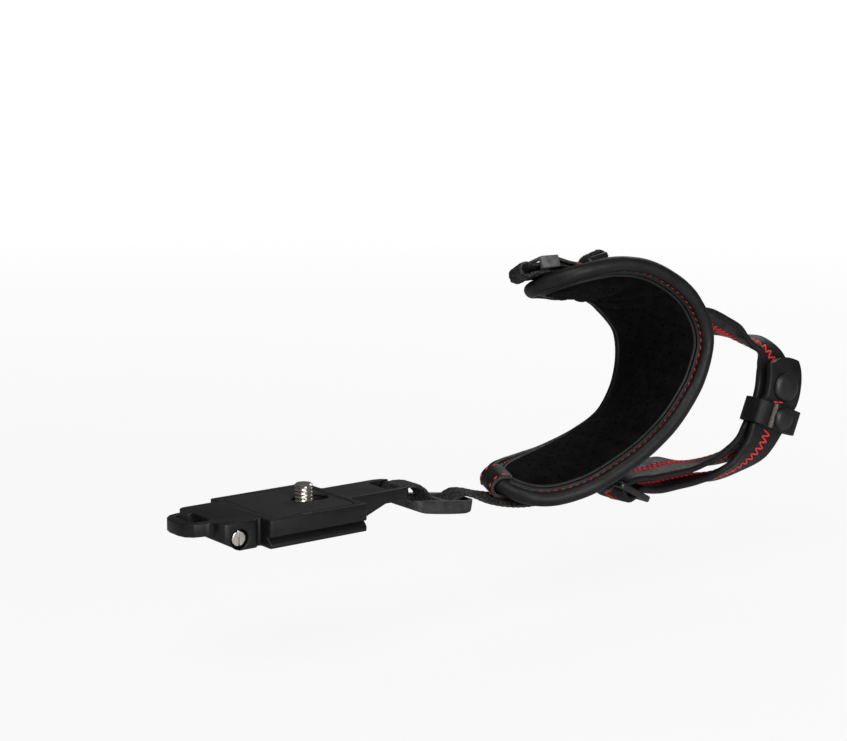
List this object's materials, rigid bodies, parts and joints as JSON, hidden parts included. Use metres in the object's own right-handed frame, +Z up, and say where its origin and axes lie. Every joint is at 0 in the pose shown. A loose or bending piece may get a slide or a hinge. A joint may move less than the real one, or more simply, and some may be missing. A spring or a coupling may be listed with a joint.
{
  "type": "camera hand grip strap",
  "caption": "Padded leather hand loop with a snap-closed wrist loop, webbing, sliders and buckles, on a slim dovetail base plate with strap rings.",
  "frame": {"origin": "middle of the camera seat, on top of the base plate's rubber pad", "axes": "+X from the base plate to the hand loop, +Y towards the camera's lens side, +Z up out of the camera seat"},
  "size_m": [0.2843, 0.0542, 0.1006],
  "materials": {
    "black_anodised": "satin black anodised",
    "bright_steel": "bright turned",
    "seat_rubber": "matte",
    "black_leather": "fine grained",
    "suede": "perforated suede",
    "foam": "soft foam",
    "piping": "smooth bead",
    "grey_plastic": "matte moulded",
    "mesh_webbing": "coarse woven",
    "snap_cap": "satin black"
  },
  "bodies": {
    "strap": {"base_plate": "black_anodised", "seat_pad": "seat_rubber", "end_screw": "bright_steel", "pad_cover": "black_leather", "lower_tab": "black_leather", "top_band": "black_leather", "wrist_strap": "black_leather", "keeper": "black_leather", "pad_lining": "suede", "pad_foam": "foam", "pad_piping": "piping", "top_slider": "grey_plastic", "upper_buckle": "grey_plastic", "lower_slider": "grey_plastic", "lower_buckle": "grey_plastic", "top_webbing": "mesh_webbing", "lower_webbing": "mesh_webbing", "tab_snap_cap": "snap_cap", "tab_snap_socket": "snap_cap", "tab_snap_stud": "snap_cap", "tab_snap_post": "snap_cap", "keeper_snap_cap": "snap_cap", "keeper_snap_washer": "snap_cap"},
    "clip": {"screw_clip": "bright_steel"},
    "screw": {"camera_screw": "bright_steel"}
  },
  "joints": [
    {"name": "screw_slide", "type": "slide", "parent": "strap", "child": "clip", "axis": [1, 0, 0], "range_m": [0, 0.005]},
    {"name": "screw_turn", "type": "hinge", "parent": "clip", "child": "screw", "pos_m": [0.00635, 0, -0.005], "axis": [0, 0, 1], "continuous": true}
  ]
}
